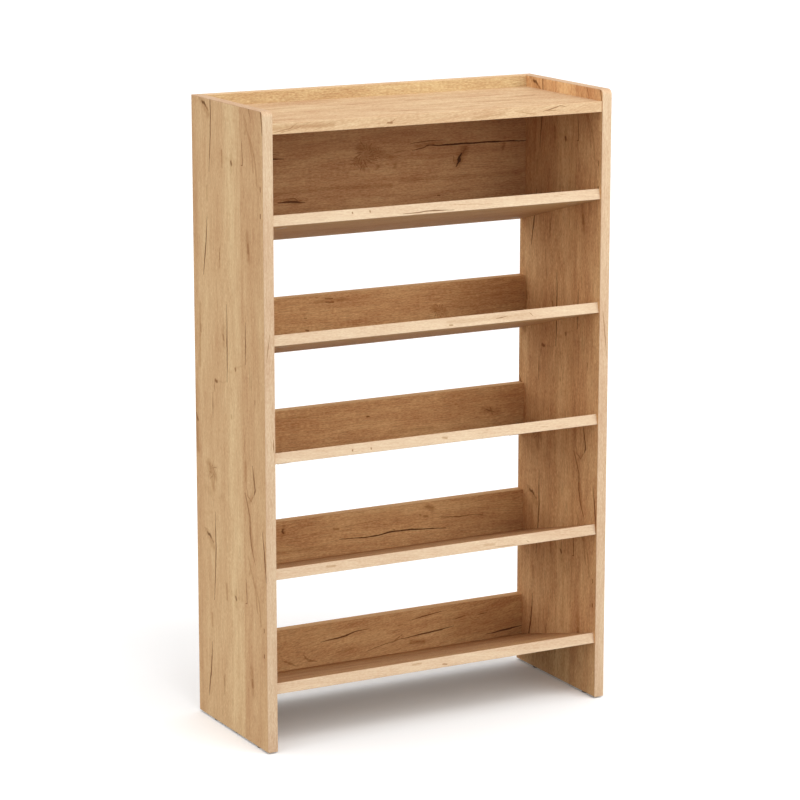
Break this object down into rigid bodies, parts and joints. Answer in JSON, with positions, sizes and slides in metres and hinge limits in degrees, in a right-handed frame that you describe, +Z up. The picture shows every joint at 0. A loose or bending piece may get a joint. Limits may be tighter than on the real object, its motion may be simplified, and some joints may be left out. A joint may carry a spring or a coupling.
{
  "type": "shoe rack",
  "caption": "Free-standing open shoe rack with tilted shelves between two side panels, low back rails, a rimmed top and oak-look faced board.",
  "frame": {"origin": "on the floor, under the middle of the rack's footprint", "axes": "+Z up, the front faces -Y, +X to the right seen from the front"},
  "size_m": [0.656, 0.27, 1.073],
  "materials": {
    "oak_board": "matt oak-look melamine on chipboard, grain along the board",
    "oak_edge_band": "satin oak-look plastic edge band, paler than the board",
    "zinc": "dull cast zinc",
    "steel": "zinc-plated steel",
    "beech": "raw beech",
    "brown_plastic": "moulded brown plastic",
    "oak_plastic": "moulded plastic coloured to match the board"
  },
  "bodies": {
    "root": {"back_rail_cam_locks": "zinc", "cam_cover_caps": "oak_plastic", "front_left_glide": "brown_plastic", "front_right_glide": "brown_plastic", "glide_nails": "steel", "left_side_bottom_band": "oak_edge_band", "left_side_cam_bolts": "steel", "left_side_dowels": "beech", "left_side_front_band": "oak_edge_band", "left_side_panel": "oak_board", "left_side_rear_band": "oak_edge_band", "rear_left_glide": "brown_plastic", "rear_right_glide": "brown_plastic", "right_side_bottom_band": "oak_edge_band", "right_side_cam_bolts": "steel", "right_side_dowels": "beech", "right_side_front_band": "oak_edge_band", "right_side_panel": "oak_board", "right_side_rear_band": "oak_edge_band", "shelf_1": "oak_board", "shelf_1_bands": "oak_edge_band", "shelf_1_cam_locks": "zinc", "shelf_2": "oak_board", "shelf_2_back_rail": "oak_board", "shelf_2_back_rail_bands": "oak_edge_band", "shelf_2_bands": "oak_edge_band", "shelf_2_cam_locks": "zinc", "shelf_3": "oak_board", "shelf_3_back_rail": "oak_board", "shelf_3_back_rail_bands": "oak_edge_band", "shelf_3_bands": "oak_edge_band", "shelf_3_cam_locks": "zinc", "shelf_4": "oak_board", "shelf_4_back_rail": "oak_board", "shelf_4_back_rail_bands": "oak_edge_band", "shelf_4_bands": "oak_edge_band", "shelf_4_cam_locks": "zinc", "shelf_5": "oak_board", "shelf_5_back_rail": "oak_board", "shelf_5_back_rail_bands": "oak_edge_band", "shelf_5_bands": "oak_edge_band", "shelf_5_cam_locks": "zinc", "top_panel": "oak_board", "top_panel_bands": "oak_edge_band", "top_panel_cam_locks": "zinc", "top_to_back_dowels": "beech", "upper_back_panel": "oak_board", "upper_back_panel_bands": "oak_edge_band", "upper_back_panel_cam_locks": "zinc"}
  },
  "joints": []
}
